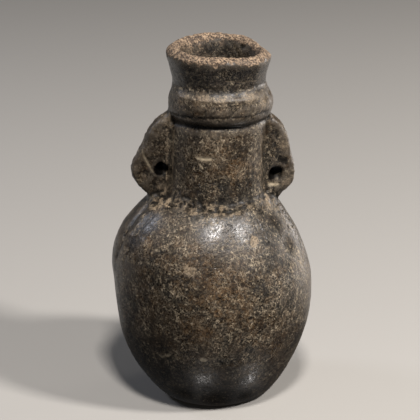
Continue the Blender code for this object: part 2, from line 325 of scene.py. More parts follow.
# Drawn lines: their pixels, half width, depth (minus stands out), paint and how much of it
longLines = (
    # the pale scratches: across the neck, under the right hole, on the left lug
    (((198, 158.0), (203, 159.2), (210.5, 159.4)), 0.50, 0.20, "lime", 1.0),
    (((269, 184.2), (274, 184.4), (278, 184.0)), 0.42, 0.12, "lime", 0.9),
    (((142, 150), (144, 156), (146.5, 161), (149.5, 166.5), (152.5, 172)), 0.34, 0.24, "lime", 0.5),
    # where the left lug joins the neck: painted shade in the crease, pale crust beside it
    (((170.3, 126), (170.0, 150), (169.4, 186)), 0.45, 0.16, "sootAndShade", 0.30),
    (((173.4, 132), (173.0, 160), (172.4, 184)), 0.45, -0.10, "crust", 0.62),
    (((167.2, 130), (167.0, 150), (166.4, 180)), 0.42, -0.12, "crust", 0.60),
    # and the right one, the same
    (((263.4, 130), (263.8, 160), (263.2, 190)), 0.45, 0.22, "sootAndShade", 0.6),
    (((260.6, 134), (261.0, 160), (260.4, 186)), 0.55, -0.08, "crust", 0.45),
    # the collar's underside and the groove below it, with painted shade under the overhang; a line above it;
    # and dust with a painted highlight along the edge of its ledge
    (((171, 113), (177, 116.0), (195, 118.4), (215, 119.0), (236, 118.2), (254, 116.0), (268, 111)),
     0.55, 0.30, "sootAndShade", 0.8),
    (((172, 121.5), (184, 126.0), (200, 128.4), (220, 129.2), (241, 128.0), (257, 124.2), (266, 120)),
     1.20, 0.80, "sootAndShade", 1.0),
    (((226, 81.5), (243, 82.4), (259, 80.4)), 0.42, 0.16, "crust", 0.50),
    (((180, 97.0), (190, 99.5), (204, 101.6), (218, 102.6), (236, 102.4), (252, 100.6)),
     1.10, -0.10, "dustAndSheen", 0.7),
    # painted shade in the crease under the neck
    (((184, 203), (192, 207), (200, 210), (212, 212.3), (226, 212.3), (238, 209.5), (248, 204.5)),
     0.60, 0.45, "sootAndShade", 0.8),
    # painted shade in the grooves at the edges of the left band
    (((147, 206), (136, 218), (125, 235), (117, 256)), 1.30, 0.42, "sootAndShade", 0.45),
    (((155, 214), (143, 227), (132, 243), (124, 261)), 0.90, 0.24, "sootAndShade", 0.40),
)
# and lines that run out here and there
toolMarks = (
    # beside the right lug, over the collar, two across the mouth, and at the foot of the left lug
    (((266.4, 126), (266.6, 150), (266.0, 176)), 0.40, 0.16, "crust", 0.40),
    (((173, 84.5), (190, 88.6), (215, 90.0), (245, 88.4), (266, 84.0)), 0.80, 0.16, "sootAndShade", 0.25),
    (((178, 78.5), (196, 82.6), (212, 84.0), (226, 84.0)), 0.40, 0.14, "crust", 0.30),
    (((174, 71.0), (190, 74.6), (206, 75.6)), 0.40, 0.10, "sootAndShade", 0.30),
    (((160, 175), (166, 178.5), (172, 176)), 0.5, 0.2, "crust", 0.5),
    # cracks with painted shade in them, and pale ridges, in the smeared joint of neck and belly
    (((176, 188), (184, 196), (191, 203), (198, 207)), 0.55, 0.30, "sootAndShade", 0.7),
    (((190, 188), (197, 197)), 0.40, 0.12, "crust", 0.35),
    (((200, 214.5), (212, 216.5), (226, 216.6), (240, 214)), 0.80, -0.25, "crust", 0.50),
    (((150, 204), (158, 199), (164, 194)), 0.55, 0.35, "sootAndShade", 0.8),
    (((164, 203), (172, 207), (180, 206)), 0.45, 0.35, "sootAndShade", 0.7),
    (((276, 200), (284, 206), (290, 215)), 0.60, 0.40, "sootAndShade", 0.7),
    (((155, 210), (163, 205), (169, 207)), 0.5, -0.30, "crust", 0.6),
    # strokes that fan out over the right shoulder, and the left band
    (((253, 204), (261, 212), (266, 222), (273, 233)), 0.50, 0.28, "sootAndShade", 0.85),
    (((262, 203), (271, 211), (277, 221), (282, 227)), 0.42, 0.12, "crust", 0.4),
    (((266, 200), (278, 210), (287, 225), (296, 243)), 0.50, 0.30, "sootAndShade", 0.85),
    (((272, 200), (283, 212), (292, 226)), 0.4, 0.12, "crust", 0.4),
    (((249, 209), (257, 219), (262, 230), (266, 238)), 0.45, 0.22, "sootAndShade", 0.7),
    (((249, 213), (255, 223), (258, 232)), 0.40, 0.10, "crust", 0.3),
    (((277, 203), (288, 217), (296, 233), (303, 250)), 0.48, 0.28, "sootAndShade", 0.8),
    (((268, 214), (277, 228), (284, 244)), 0.45, 0.20, "sootAndShade", 0.65),
    (((259, 205), (266, 213), (272, 224)), 0.42, 0.20, "sootAndShade", 0.7),
    (((286, 226), (293, 241), (298, 256)), 0.42, 0.18, "sootAndShade", 0.6),
    (((151, 209), (140, 221), (129, 237), (120, 257)), 0.7, -0.20, "crust", 0.30),
    # belly
    (((192, 267.6), (203, 266.8), (214, 267.6), (220, 268.6)), 0.40, 0.12, "sootAndShade", 0.6),
    (((239, 321), (250, 318.5), (263, 314.0), (277, 307)), 0.50, 0.30, "sootAndShade", 0.85),
    (((236, 303), (250, 300), (262, 301)), 0.4, 0.10, "sootAndShade", 0.5),
    (((203, 341), (222, 343), (243, 340.5)), 0.45, 0.18, "sootAndShade", 0.7),
    (((238, 325), (255, 330), (275, 327)), 0.5, 0.06, "grey", 0.5),
    (((152, 253), (155, 250.5), (158, 251), (162, 246)), 0.32, 0.06, "lime", 0.6),
    (((158, 354), (162, 357), (168, 355.5), (171, 353.5)), 0.32, 0.06, "lime", 0.6),
    (((216, 383), (221, 386), (229, 385)), 0.32, 0.08, "crust", 0.5),
    (((284, 349), (291, 341), (299, 328)), 0.42, 0.14, "crust", 0.45),
    (((250, 272), (254, 276), (257, 277)), 0.36, 0.08, "crust", 0.8),
    (((247, 276), (252, 278.5)), 0.32, 0.06, "crust", 0.6),
)
# Chips, dents and deposits: pixel, radius, depth, paint and how much of it
chips = (
    # pale crumbs and ochre spots on the belly, and a grey dent at the foot
    (254.6, 239.5, 1.9, 0.22, "crust", 1.0), (253.4, 244.0, 1.7, 0.22, "crust", 1.0),
    (278, 376, 0.9, 0.35, "crust", 1.0), (202, 359.5, 0.9, 0.06, "lime", 0.8),
    (204.6, 360.5, 0.8, 0.06, "lime", 0.8), (187, 270, 1.9, 0.04, "crust", 0.62),
    (193, 272, 2.3, 0.04, "crust", 0.5), (189, 276, 1.2, 0.0, "crust", 0.5),
    (147, 241, 1.6, 0.10, "warm", 0.9), (144, 237, 1.0, 0.08, "crust", 0.4),
    (150, 243, 1.8, 0.0, "warm", 0.7), (207, 390, 2.8, 0.30, "grey", 0.6),
    # chips of the lip
    (216, 66.5, 1.3, 0.45, "bare", 1.0), (232, 64.0, 0.8, 0.20, "bare", 0.7),
    (199, 65.8, 0.9, 0.25, "bare", 0.8), (184, 61.5, 0.8, 0.20, "bare", 0.8),
    (242, 47, 1.1, 0.60, "sootAndShade", 0.9),
    # pale spots on the neck
    (240, 178, 1.3, 0.08, "crust", 0.5), (243, 174, 0.7, 0.04, "crust", 0.6),
    (222, 145, 0.5, 0.05, "crust", 0.7), (236, 153, 0.4, 0.03, "crust", 0.8),
    (231, 166, 0.4, 0.03, "crust", 0.6), (207, 173, 0.4, 0.03, "crust", 0.6),
    # dents of the right lug and under the collar, with painted shade in them, and a crusted dent on the left
    # lug
    (277, 197, 1.1, 0.50, "sootAndShade", 0.7), (285, 160, 2.2, 0.45, "sootAndShade", 0.8),
    (279, 158, 1.4, 0.25, "sootAndShade", 0.6), (268.5, 116.5, 1.1, 0.60, "sootAndShade", 0.9),
    (272, 119, 0.9, 0.40, "sootAndShade", 0.8), (142, 131, 1.2, 0.30, "crust", 0.5),
    # crumbs on the collar
    (225, 106, 0.55, -0.12, "crust", 0.6), (225.4, 110, 0.4, -0.06, "crust", 0.5),
    (237.5, 104, 0.55, -0.12, "crust", 0.7), (237.2, 109, 0.5, -0.10, "crust", 0.5),
    (183, 110, 0.9, 0.10, "crust", 0.6), (191, 112, 0.8, 0.10, "crust", 0.5),
    # hollows of the smeared joint, with painted shade in them, and its pale lumps
    (240, 198, 2.6, 0.20, "sootAndShade", 0.6), (180, 203, 1.2, 0.40, "sootAndShade", 0.5),
    (189, 207, 1.1, 0.40, "sootAndShade", 0.5), (157, 202, 1.4, 0.45, "sootAndShade", 0.6),
    (287, 207, 1.4, 0.45, "sootAndShade", 0.6), (161, 199, 1.0, -0.30, "crust", 0.6),
    (206, 212.0, 1.3, -0.25, "crust", 0.4), (169, 200, 1.4, -0.35, "crust", 0.6),
    (195, 211, 1.2, -0.20, "crust", 0.4), (151, 209, 1.3, -0.25, "crust", 0.4),
    (176, 209, 1.6, -0.25, "crust", 0.3), (248, 206, 1.5, -0.20, "crust", 0.3),
    # brown spots on the belly
    (222, 294, 1.7, 0.0, "warm", 1.0), (218, 313, 1.9, 0.05, "warm", 1.0),
    (217, 299, 4.0, 0.0, "warm", 0.5), (226, 300, 1.4, 0.0, "warm", 0.9),
    (205, 333, 4.0, 0.0, "warm", 0.5), (190, 325, 5.5, 0.0, "warm", 0.35),
)

# Broad tones of the skin: pixel, size and how much of the paint
tones = {
    "warm": (                # brown clouds of the firing
        (200, 107, 5, 0.9), (200, 113, 4, 0.7), (222, 114, 4, 0.6), (240, 113, 4, 0.5),
        (180, 102, 3.5, 0.6), (215, 150, 9, 0.55), (235, 170, 7, 0.6), (190, 255, 10, 0.40),
        (225, 297, 16, 0.50), (265, 335, 12, 0.35),
    ),
    "sootAndShade": (                # smoked dark, and painted shade inside the mouth, under the collar, at the foot of the neck, low on the belly and at the foot
        # mouth outside, and painted shade inside it
        (228, 76, 4, 0.5), (250, 52, 8.0, 0.6), (187, 51, 2.5, 0.9), (206, 49, 4, 0.8),
        (247, 48, 4, 0.8), (228, 52, 5, 0.7),
        # collar's lower face, painted shade
        (186, 112, 4, 0.5), (212, 112, 4, 0.35), (232, 112, 4, 0.4), (250, 110, 4, 0.45),
        # neck and lugs
        (215, 165, 18, 0.22), (182, 165, 6, 0.7), (184, 148, 6, 0.45), (187, 182, 7, 0.45),
        (236, 190, 6, 0.4), (240, 195, 6, 0.7), (200, 190, 6, 0.5), (225, 192, 10, 0.32),
        (148, 140, 4.0, 0.8), (155, 145, 5, 0.6), (153, 155, 4.0, 0.5), (285, 150, 3.0, 0.5),
        # foot of the neck, painted shade in the joint
        (215, 207, 12, 0.30), (218, 207, 4, 0.4), (203, 203, 4, 0.7), (214, 204, 4, 0.85),
        (226, 204, 4, 0.85), (238, 201, 4, 0.6),
        # right shoulder
        (275, 214, 5, 0.5), (265, 216, 4, 0.5), (278, 225, 7, 1.0), (285, 236, 6, 0.95),
        (291, 246, 5, 0.8), (270, 241, 6, 0.85),
        # painted shade on the belly's left and low side and at the foot
        (130, 275, 7, 0.35), (160, 300, 9, 0.15), (135, 322, 9, 0.25), (150, 345, 16, 0.50),
        (220, 375, 14, 0.45), (185, 380, 12, 0.5), (250, 380, 10, 0.4), (190, 400, 14, 1.0),
        (240, 398, 14, 1.0), (215, 404, 20, 1.0),
    ),
    "grey": (                # rubbed by the stone to a glossy grey; on the left shoulder and at the highlights of the shoulder and the foot the grey is also a painted sheen
        (245, 73, 5.5, 1.0), (176, 116, 5, 0.6), (200, 122, 6, 0.7), (236, 122, 6, 0.6),
        (133, 150, 5, 0.7), (278, 166, 3.5, 0.6), (155, 219, 4, 1.0), (146, 228, 5, 1.0),
        (132, 242, 5, 0.9), (225, 228, 8, 0.8), (205, 236, 6, 0.6), (202, 380, 3.0, 1.0),
        (200, 382, 2.5, 1.0), (249, 379, 3.0, 1.0),
    ),
    "dustAndSheen": (                # dusty, and painted sheen along the belly's right and left edges and painted highlight on the collar's ledge
        # mouth and collar; on the collar's ledge partly a painted highlight
        (200, 66, 5, 0.4), (188, 99, 6, 0.7), (218, 99, 7, 0.8), (250, 99, 6, 0.8),
        (205, 101, 4.5, 1.0), (222, 102, 4.5, 1.0), (262, 100, 4, 0.8), (258, 106, 3, 0.5),
        # neck and lugs
        (210, 136, 9, 0.6), (257, 140, 5, 0.6), (257, 160, 5, 0.7), (217, 160, 4, 0.4),
        (169, 140, 4, 0.6), (169, 160, 4, 0.5), (163, 130, 4, 0.7), (158, 160, 3, 0.5),
        (150, 178, 3, 0.6), (284, 141, 5, 0.6), (290, 180, 4, 0.6), (285, 185, 3, 0.5),
        # shoulders and belly; along the belly's right and left edges, painted sheen
        (285, 212, 6, 0.15), (185, 222, 6, 0.4), (165, 235, 6, 0.5), (185, 240, 6, 0.4),
        (255, 265, 9, 0.4), (299, 262, 6, 1.0), (305, 280, 6, 1.0), (303, 295, 7, 1.0),
        (280, 300, 8, 0.45), (120, 290, 4, 0.8), (124, 312, 4, 0.8), (138, 332, 4, 0.6),
        (225, 345, 10, 0.25),
    ),
    "crust": (               # thin pale deposit
        (185, 97, 4, 0.48), (203, 100, 5, 0.56), (222, 101, 4, 0.50), (250, 97, 5, 0.52),
        (263, 103, 4, 0.52), (210, 138, 8, 0.40), (241, 172, 4, 0.42), (257, 155, 4, 0.38),
        (256, 125, 4, 0.40), (168, 120, 4, 0.50), (168, 145, 3.5, 0.42), (169, 165, 3, 0.36),
        (163, 186, 4, 0.50), (283, 146, 4, 0.50), (288, 182, 4, 0.45), (160, 205, 5, 0.42),
        (268, 205, 5, 0.45), (192, 212, 4, 0.42), (222, 216, 4, 0.38),
    ),
    "bare": (                # bare clay of the mouth's inner face
        (190, 45, 4, 0.62), (199, 42, 3.5, 0.58), (222, 43, 4, 0.50),
    ),
    "matte": (               # dull, with no burnish left: lugs, joint, right shoulder, foot
        (266, 98, 3, 1.0), (162, 177, 2, 1.0), (275, 182, 2.5, 1.0), (208, 204, 5, 1.0),
        (222, 205, 5, 1.0), (155, 205, 5, 1.0), (172, 206, 5, 1.0), (190, 209, 4, 1.0),
        (206, 211, 3.5, 1.0), (222, 212, 3.5, 1.0), (238, 210, 3.5, 1.0), (252, 206, 4, 1.0),
        (262, 212, 5, 0.9), (275, 222, 6.5, 1.0), (290, 245, 5, 1.0), (290, 265, 5, 0.6),
        (216, 400, 9, 1.0), (185, 394, 6, 0.8), (245, 396, 6, 0.8),
    ),
    "rough": (               # clay smeared on by the fingers, at the joint and the lugs' feet
        (155, 203, 4.0, 0.9), (168, 203, 4.0, 1.0), (184, 207, 3.2, 0.9), (200, 211, 3.0, 0.8),
        (216, 213, 2.6, 0.7), (232, 212, 2.6, 0.7), (247, 207, 3.0, 0.9), (262, 203, 4.0, 0.9),
        (277, 205, 4.0, 0.9), (146, 181, 3.0, 0.6), (152, 186, 3.0, 0.6), (160, 188, 3.0, 0.7),
        (176, 190, 3.0, 0.5), (283, 188, 3.0, 0.7), (290, 172, 2.5, 0.6), (268, 120, 2.5, 0.7),
    ),
}
print("marks ready")


# A finer mesh where the fine marks run
fineMarks = {"reach": 0.65, "slack": 0.5}      # millimetres from a mark

near = np.full(len(points), farOff)
for line in longLines + toolMarks:
    gap = distanceTo(pathOnClay(line[0]), points, fineMarks["reach"] + fineMarks["slack"])
    near = np.minimum(near, gap)
closeBy = near < fineMarks["reach"]
corners = [list(p.vertices) for p in vase.data.polygons]
picked = np.array([closeBy[c].any() and len(c) == 4 for c in corners])
vase.data.polygons.foreach_set("select", picked)
bpy.ops.object.mode_set(mode="EDIT")
bpy.ops.mesh.subdivide(number_cuts=1)
bpy.ops.object.mode_set(mode="OBJECT")
print("finer mesh", trianglesOf(vase), "triangles")

points = readPoints(vase)
edges = readEdges(vase)
normals = readNormals(vase)
height = points[:, 2]
radius, angle = around(points)
inside = insideMask(points)
outside = 1.0 - inside

even = (1, 1, 1)
handWork = {      # period of the unevenness, how high it stands, its seed, octaves and stretch
    "hand": (24, 0.24, 1, 2, even),                             # what the hands left
    "palm": (9, 0.12, 2, 2, even),
    "stoneOnBelly": (3.2, 0.055, 3, 2, (0.28, 0.28, 1.0)),      # narrow flats of the burnishing stone
    "stoneOnNeck": (3.2, 0.090, 4, 2, (1.0, 1.0, 0.16)),
    "skin": (1.9, 0.035, 20, 3, even),                          # fine roughness where the burnish has gone
    "lugLumps": (4.5, 0.30, 5, 2, even),
    "lugGrain": (2.0, 0.28, 6, 3, even),
    "collarLumps": (5.0, 0.20, 7, 2, (1, 1, 1.6)),
    "collarGrain": (1.9, 0.15, 8, 3, even),
    "mouthRings": (5.0, 0.09, 9, 2, (0.5, 0.5, 2.4)),
    "mouthGrain": (1.6, 0.05, 21, 3, even),
    "jointWander": (7, 1.4, 10, 2, even),                       # how the joint of neck and belly strays
    "smear": (2.6, 1, 11, 4, even),                             # clay smeared over it
    "lipEdge": (2.6, 1.7, 12, 3, (1, 1, 0.3)),                  # the ragged edge of the burnish at the lip
    "innerEdge": (3.0, 0.9, 13, 2, even),
    "grit": (1.5, 0.20, 14, 3, even),                           # coarse clay of the worn lip
    "lipHollows": (3.4, 1, 15, 2, even),
    "throatLumps": (2.6, 0.22, 16, 3, even),                    # the hollow just below the lip
    "throatGrain": (1.3, 0.10, 22, 2, even),
    "breaks": (2.2, 1, 30, 3, even),                            # where a tool's stroke runs out
    "wander": (2.8, 1, 31, 2, even),                            # how a stroke strays
}
zones = {         # heights where a part begins and where it ends, each eased
    "belly": ((-2, -1), (84, 90)),     # from below the foot
    "lugs": ((87.5, 91.5), (123, 126)),
    "neck": ((90.5, 94.5), (121, 123)),
    "groove": ((122, 123.5), (125.5, 127)),
    "collar": ((122.5, 124), (134.5, 136.5)),
    "mouth": ((135.5, 137.5), (200, 201)),      # to above the lip
}
wearPlan = {
    "lugsBegin": (21.5, 23.5),         # radius
    "jointHeight": 88.8, "jointSpread": 2.6, "jointEnds": (27, 31), "smearHeight": 0.90,
    "lipFrom": 139,                    # above this height the lip's crest is looked for,
    "lipSteps": 72,                    # in so many steps around it
    "lipBand": 2.6,                    # how far the bare clay comes down from the crest
    "innerBand": 2.4,                  # and on the inside
    "hollowDepth": 0.35,               # of the dents of the bare lip
    "throatFrom": 110,                 # height
    "holeRimShade": (2.6, 3.6), "holeShade": (2.60, 2.90), "holesFrom": 20.5,
    "edgeHeight": 0.16,                # what stands out by this much counts as a full edge
    "lineStray": 0.15,                 # how far a drawn line wanders
    "toolStray": 0.35,                 # and a tool's stroke,
    "runsOut": (-0.35, 0.10),          # which is gone below the first of these noise values
    "paintSpread": 1.25,               # a line's paint against its groove
    "chipRagged": 0.35,                # a chip's outline: the rest are shares of its radius
    "chipWall": (0.45, 1.15), "chipPaint": (0.7, 1.2), "chipReach": 2.4, "chipSearch": 2.5,
}


def noiseField(period, seed, stretch, octaves, some=None):
    scale = np.array(stretch, float) / period
    start = np.array((seed * 7.31, seed * 3.17, seed * 5.93))
    where = (points if some is None else points[some]) * scale + start
    values = np.array([noise.fractal(Vector(p), 0.8, 2.1, octaves) for p in where.tolist()])
    if some is None:
        return values
    full = np.zeros(len(points))
    full[some] = values
    return full


def worked(name, some=None):
    period, high, seed, octaves, stretch = handWork[name]
    return high * noiseField(period, seed, stretch, octaves, some)


def zone(name):
    begins, ends = zones[name]
    return ramp(height, *begins) * (1 - ramp(height, *ends)) * outside


def brush(layer, amount):  # paint only ever grows thicker
    paint[layer] = np.maximum(paint[layer], amount)


layers = ("crust", "bare", "warm", "sootAndShade", "grey", "dustAndSheen", "rough", "matte", "bore", "lime")
paint = {layer: np.zeros(len(points)) for layer in layers}
for layer, spots in tones.items():
    for x, y, size, amount in spots:
        gap = distanceTo(pathOnClay(((x, y),)), points, size * 2)
        brush(layer, amount * np.exp(-(gap / size) ** 2))

neckZone = zone("neck")
bellyZone = zone("belly")
lugZone = ramp(radius, *wearPlan["lugsBegin"]) * zone("lugs")
collarZone = zone("collar")
mouthZone = zone("mouth")
offset = worked("hand") * (0.35 + 0.65 * bellyZone) + worked("palm") * (0.6 + 0.4 * outside)
offset += worked("stoneOnBelly") * bellyZone + worked("stoneOnNeck") * neckZone
offset += worked("skin") * outside * (0.5 + paint["dustAndSheen"] + 0.8 * neckZone + 0.5 * (1 - paint["grey"]))
offset += (worked("lugLumps") + worked("lugGrain")) * lugZone
offset += (worked("collarLumps") + worked("collarGrain")) * collarZone
offset += (worked("mouthRings") + worked("mouthGrain")) * mouthZone

# the smeared joint: pale crust on its lumps, painted shade in its hollows, and dust
jointLine = wearPlan["jointHeight"] + worked("jointWander")
joint = np.exp(-((height - jointLine) / wearPlan["jointSpread"]) ** 2) * outside
joint = np.maximum(joint * (1 - ramp(radius, *wearPlan["jointEnds"])) * 0.8, paint["rough"] * outside)
smear = worked("smear")
offset += wearPlan["smearHeight"] * smear * joint
paint["crust"] += joint * ramp(smear, 0.05, 0.5) * 0.6
paint["sootAndShade"] += joint * ramp(-smear, 0.0, 0.35) * 0.9
brush("dustAndSheen", joint * 0.5)

# the lip, bare where the skin has gone
steps = wearPlan["lipSteps"]
turn = (angle + math.pi) / (2 * math.pi) * steps
onLip = height > wearPlan["lipFrom"]
crest = np.full(steps, -farOff)
np.maximum.at(crest, np.clip(turn.astype(int), 0, steps - 1), np.where(onLip, height, -farOff))
crestHere = np.interp(turn - 0.5, np.arange(-1, steps + 1), np.r_[crest[-1], crest, crest[0]])
fromCrest = crestHere - height
some = np.nonzero(onLip)[0]
raggedEdge = wearPlan["lipBand"] + worked("lipEdge", some)
raggedInside = wearPlan["innerBand"] + worked("innerEdge", some)
bare = (1 - ramp(fromCrest - raggedEdge, -0.25, 0.25)) * onLip
bare = bare * np.where(inside, 1 - ramp(fromCrest - raggedInside, -0.5, 0.5), 1.0)
offset += worked("grit", some) * bare
offset -= wearPlan["hollowDepth"] * ramp(worked("lipHollows", some), 0.1, 0.6) * bare
brush("bare", bare)

# the throat, bare clay with painted shade that is deeper on its right side; painted shade in the collar's
# groove; the mouth rubbed grey; and painted shade in and around the two holes
inThroat = inside * (height > wearPlan["throatFrom"])
offset += (worked("throatLumps", some) + worked("throatGrain", some)) * inThroat
brush("bare", (0.38 - 0.10 * np.sin(angle)) * inThroat)
brush("sootAndShade", (0.5 + 0.2 * np.sin(angle)) * inThroat)
brush("sootAndShade", 0.5 * zone("groove"))
brush("grey", 0.75 * mouthZone * (1 - paint["bare"]))
holeGap = np.full(len(points), farOff)
for holeX, holeHeight in shaping["holes"]:
    rise = (shaping["holeSlope"] + shaping["holeLean"]) * behindLugFront(points)
    axisHeight = holeHeight + shaping["holeSlope"] * shaping["lugFront"] + rise
    holeGap = np.minimum(holeGap, np.hypot(points[:, 0] - holeX, points[:, 2] - axisHeight))
inLug = radius > wearPlan["holesFrom"]
brush("sootAndShade", (1 - ramp(holeGap, *wearPlan["holeRimShade"])) * inLug)
brush("bore", (1 - ramp(holeGap, *wearPlan["holeShade"])) * inLug)      # deep shade in the holes

points += normals * offset[:, None]
writePoints(vase, points)
normals = readNormals(vase)
surface = surfaceOf(vase)

# drawn lines, strokes that run out, and chips
offset = np.zeros(len(points))
unbroken = np.ones(len(points))
broken = ramp(worked("breaks"), *wearPlan["runsOut"])
wander = worked("wander")
strokes = ((longLines, wearPlan["lineStray"], unbroken), (toolMarks, wearPlan["toolStray"], broken))
for lines, stray, kept in strokes:
    for pixels, width, depth, layer, amount in lines:
        gap = distanceTo(pathOnClay(pixels), points, width * 3 + 0.8)
        gap = np.maximum(gap + wander * stray, 0)
        offset -= depth * np.exp(-(gap / width) ** 2) * outside * kept
        brush(layer, amount * np.exp(-(gap / (width * wearPlan["paintSpread"])) ** 2) * outside * kept)
for x, y, size, depth, layer, amount in chips:
    gap = distanceTo(pathOnClay(((x, y),)), points, size * wearPlan["chipSearch"])
    some = np.nonzero(gap < size * wearPlan["chipReach"])[0]
    gap = gap * (1 + wearPlan["chipRagged"] * noiseField(max(size, 0.9), 17, even, 2, some))
    offset -= depth * (1 - ramp(gap / size, *wearPlan["chipWall"]))
    brush(layer, amount * (1 - ramp(gap / size, *wearPlan["chipPaint"])))
points += normals * offset[:, None]
points[:, 2] = np.maximum(points[:, 2], 0.0)
writePoints(vase, points)
print("clay worked")

# worn edges, and painted shade in the hollows, from how much each point stands out of its surroundings
normals = readNormals(vase)
halfWay = np.full(len(points), 0.5)
broad = relax(points, edges, halfWay, 9)
standsOut = ((points - broad) * normals).sum(1)
standsOut = relax(np.repeat(standsOut[:, None], 3, 1), edges, halfWay, 1)[:, 0]
paint["edge"] = np.clip(standsOut / wearPlan["edgeHeight"], -1, 1) * 0.5 + 0.5

for name, values in paint.items():
    layer = vase.data.attributes.new(name, "FLOAT", "POINT")
    layer.data.foreach_set("value", np.clip(values, 0, 1).astype(np.float32))
vase.data.polygons.foreach_set("use_smooth", np.ones(len(vase.data.polygons), bool))
vase.data.update()
print("wear painted")


# Burnished blackware: coarse low-fired earthenware, rubbed with a stone while leather hard and smoked in
# the kiln. It gives a dark satin skin that breaks up in brown and ochre, pale fibrous scuffs, and bare
# gritty buff where it is worn
blackware = {
    # the smoked skin, which is also the colour of the painted shade
    "smokedAndShade": "#12100d",
    "brown": "#2e2318",
    "ochre": "#503c26",
    "greySkin": "#1f1f21",
    "fibre": "#b3a48b",
    # dust, which is also painted as a sheen on the belly's edges and a highlight on the collar's ledge
    "dustAndSheen": "#544c42",
    "crustPale": "#9c8b74",
    "crustDark": "#544737",
    "lime": "#bdae94",
    "barePale": "#9c866e",
    "bareDark": "#31261f",
    # open pits and cracks, and the painted shade in the hollows and the holes
    "pitAndShade": "#080706",
    "satin": 0.25,           # roughness of the burnish
    "bumpHeight": 0.060,
}
patterns = {      # period in millimetres, detail, roughness and seed
    "firing": (22, 3, 0.6, 1),         # clouds from the kiln
    "mottle": (4.5, 5, 0.70, 2),
    "speck": (1.1, 4, 0.7, 3),         # temper that shows through the skin
    "fine": (0.55, 2, 0.6, 4),
    "sheen": (7, 3, 0.6, 5),           # how well the stone rubbed
    "cover": (8, 3, 0.6, 8),           # where the scuffs lie thick
    "coverBreak": (1.9, 2, 0.6, 33),
    "flecks": (1.3, 2, 0.7, 30, 0.5),  # stray lime; the last value distorts it
    "pits": (0.95, 2, 0.5, 9),
    "grit": (0.75, 3, 0.7, 10),
    "soil": (2.4, 3, 0.6, 11),         # dirt in the bare clay
}
hairLines = {     # period in millimetres, seed, thinness, and where the noise that breaks them up keeps them
    "longScuffs": (2.4, 12, 0.023, 0.46, 0.56),
    "scuffs": (1.5, 6, 0.033, 0.46, 0.56),
    "shortScuffs": (0.95, 18, 0.050, 0.46, 0.56),
    "cracks": (1.8, 24, 0.030, 0.42, 0.52),
}

clay = bpy.data.materials.new("burnished_blackware")
clay.use_nodes = True
tree = clay.node_tree
tree.nodes.clear()
output = addNode(tree, "ShaderNodeOutputMaterial")
shader = addNode(tree, "ShaderNodeBsdfPrincipled", {"IOR": 1.5, "Specular IOR Level": 0.5})
tree.links.new(shader.outputs[0], output.inputs["Surface"])
objectPlace = addNode(tree, "ShaderNodeTexCoord").outputs["Object"]
inMillimetres = addNode(tree, "ShaderNodeMapping", {"Vector": objectPlace, "Scale": (1000, 1000, 1000)})


def grain(period, detail, roughness, seed, distortion=0.0):
    away = (seed * 13.7, seed * 7.9, seed * 3.3)
    where = addNode(tree, "ShaderNodeMapping", {"Vector": inMillimetres.outputs[0], "Location": away})
    return addNode(tree, "ShaderNodeTexNoise", {
        "Vector": where.outputs[0], "Scale": 1 / period, "Detail": detail, "Roughness": roughness,
        "Distortion": distortion,
    }).outputs["Fac"]


def between(value, low, high, start=0.0, end=1.0):
    return addNode(tree, "ShaderNodeMapRange", {
        "Value": value, "From Min": low, "From Max": high, "To Min": start, "To Max": end,
    }, interpolation_type="SMOOTHSTEP").outputs[0]


def combine(operation, a, b):
    clamped = operation != "SUBTRACT"
    return addNode(tree, "ShaderNodeMath", {0: a, 1: b}, operation=operation, use_clamp=clamped).outputs[0]


def free(operation, a, b=0.0):  # the same with no clamp
    return addNode(tree, "ShaderNodeMath", {0: a, 1: b}, operation=operation).outputs[0]


def blendColour(factor, a, b, kind="MIX"):
    mix = addNode(tree, "ShaderNodeMix", {0: factor, 6: a, 7: b}, data_type="RGBA", blend_type=kind)
    return mix.outputs[2]


def fibres(name):  # short curved lines: the level lines of a noise, kept where another is high
    period, seed, thin, low, high = hairLines[name]
    lines = free("ABSOLUTE", free("SUBTRACT", grain(period, 2.5, 0.55, seed, 0.9), 0.5))
    kept = between(grain(period * 0.8, 2, 0.5, seed + 3), low, high)
    return combine("MULTIPLY", between(lines, thin * 0.4, thin, 1.0, 0.0), kept)


colours = {name: hexColour(value) for name, value in blackware.items() if isinstance(value, str)}
crust, bareClay, warm, sootAndShade, grey, dustAndSheen, matte, edge, bore, lime = [
    addNode(tree, "ShaderNodeAttribute", attribute_name=name).outputs["Fac"]
    for name in ("crust", "bare", "warm", "sootAndShade", "grey", "dustAndSheen", "matte", "edge", "bore", "lime")
]
speck = grain(*patterns["speck"])
fine = grain(*patterns["fine"])
sheen = grain(*patterns["sheen"])
grit = grain(*patterns["grit"])
pits = between(grain(*patterns["pits"]), 0.34, 0.26)
cracks = combine("MULTIPLY", fibres("cracks"), 0.8)

# pale scuffs, thick in clouds, thin where soot and painted shade lie and on the grey
scuffs = combine("MAXIMUM", fibres("scuffs"), fibres("longScuffs"))
scuffs = combine("MAXIMUM", scuffs, combine("MULTIPLY", fibres("shortScuffs"), 0.8))
cover = between(grain(*patterns["cover"]), 0.38, 0.60, 0.22, 0.80)
cover = combine("ADD", cover, combine("MULTIPLY", dustAndSheen, 0.5))
cover = combine("MULTIPLY", cover, between(sootAndShade, 0.1, 1.0, 1.0, 0.30))
cover = combine("MULTIPLY", cover, between(grey, 0.2, 1.0, 1.0, 0.35))
scuffs = combine("MULTIPLY", scuffs, cover)
scuffs = combine("MULTIPLY", scuffs, between(grain(*patterns["coverBreak"]), 0.48, 0.64, 0.38, 1.15))

